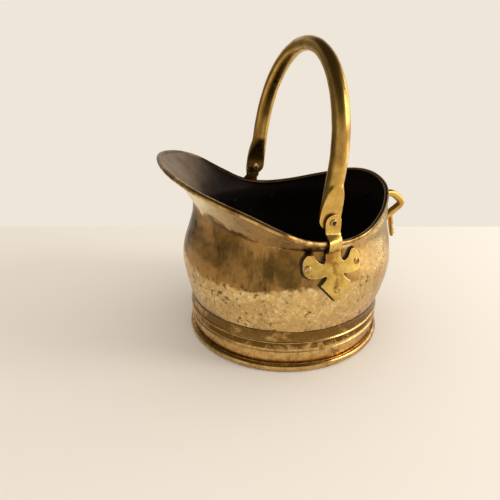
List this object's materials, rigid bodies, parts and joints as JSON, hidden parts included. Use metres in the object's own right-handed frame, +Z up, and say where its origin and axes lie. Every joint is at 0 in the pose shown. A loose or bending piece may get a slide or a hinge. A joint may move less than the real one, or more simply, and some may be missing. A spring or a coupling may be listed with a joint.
{
  "type": "coal_scuttle",
  "caption": "Hammered brass coal scuttle with a flared pouring lip, turned foot, swinging bail on riveted lugs and a fixed D-loop handle at the back",
  "frame": {"origin": "centre of the bounding box in x and y, on the floor plane under the foot (z=0)", "axes": "+Z up, the longest extent, from the worn land of the foot to the crown of the bail; -Y toward the middle of the pouring lip; +X to the lug nearest the camera in the picture, which is on the right for someone who stands at the lip and looks toward the rear handle"},
  "size_m": [0.2934, 0.306, 0.3336],
  "materials": {
    "hammered_sheet": "hammered, patinated, sooty inside",
    "spun_trim": "turned, softly worn",
    "handle_rod": "cast and file-finished, hand-polished",
    "cast_lug": "cast, bevelled edges, worn",
    "rivet_stock": "peened"
  },
  "bodies": {
    "body": {"body_shell": "hammered_sheet", "rim_wire": "spun_trim", "bottom_pan": "hammered_sheet", "foot_collar": "spun_trim", "foot_skirt": "spun_trim", "foot_wire": "spun_trim", "right_lug": "cast_lug", "right_pivot_rivet": "rivet_stock", "right_pivot_rove": "rivet_stock", "right_lug_rivet_front_lobe": "rivet_stock", "right_lug_rivet_rear_lobe": "rivet_stock", "right_lug_rivet_arrow": "rivet_stock", "left_lug": "cast_lug", "left_pivot_rivet": "rivet_stock", "left_pivot_rove": "rivet_stock", "left_lug_rivet_front_lobe": "rivet_stock", "left_lug_rivet_rear_lobe": "rivet_stock", "left_lug_rivet_arrow": "rivet_stock", "rear_handle": "handle_rod", "rear_rivet_upper_left": "rivet_stock", "rear_rivet_upper_right": "rivet_stock", "rear_rivet_lower_left": "rivet_stock", "rear_rivet_lower_right": "rivet_stock"},
    "bail": {"bail_handle": "handle_rod"}
  },
  "joints": [
    {"name": "bail_hinge", "type": "hinge", "parent": "body", "child": "bail", "pos_m": [0, -0.01116, 0.1685], "axis": [1, 0, 0], "range_deg": [-84, 76]}
  ]
}
